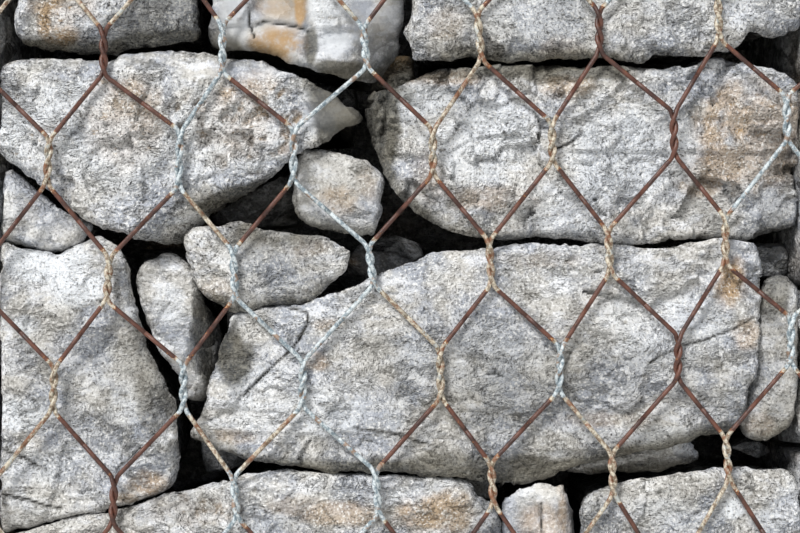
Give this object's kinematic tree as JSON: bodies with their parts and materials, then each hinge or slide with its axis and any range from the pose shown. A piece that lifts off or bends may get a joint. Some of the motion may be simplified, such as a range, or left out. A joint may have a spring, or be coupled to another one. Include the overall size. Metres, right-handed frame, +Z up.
{
  "type": "gabion wall",
  "caption": "One whole bay of a gabion wall: a basket of rusting double-twist wire mesh packed with pale grey limestone.",
  "frame": {"origin": "middle of the footprint at ground level", "axes": "X along the wall, -Y is the front face, +Z up"},
  "size_m": [1, 0.3, 0.5],
  "materials": {
    "mesh_wire": "zinc-coated steel wire, dull, mostly rusted brown with patches of zinc left",
    "limestone": "rough broken faces, pale grey with ochre stains"
  },
  "bodies": {
    "root": {"front_mesh": "mesh_wire", "back_mesh": "mesh_wire", "left_end_mesh": "mesh_wire", "right_end_mesh": "mesh_wire", "base_mesh": "mesh_wire", "lid_mesh": "mesh_wire", "front_course_1": "limestone", "front_course_2": "limestone", "front_course_3": "limestone", "front_course_4": "limestone", "front_packing": "limestone", "back_course_1": "limestone", "back_course_2": "limestone", "back_course_3": "limestone", "back_course_4": "limestone", "left_end_course_1": "limestone", "left_end_course_2": "limestone", "left_end_course_3": "limestone", "left_end_course_4": "limestone", "right_end_course_1": "limestone", "right_end_course_2": "limestone", "right_end_course_3": "limestone", "right_end_course_4": "limestone"}
  },
  "joints": []
}
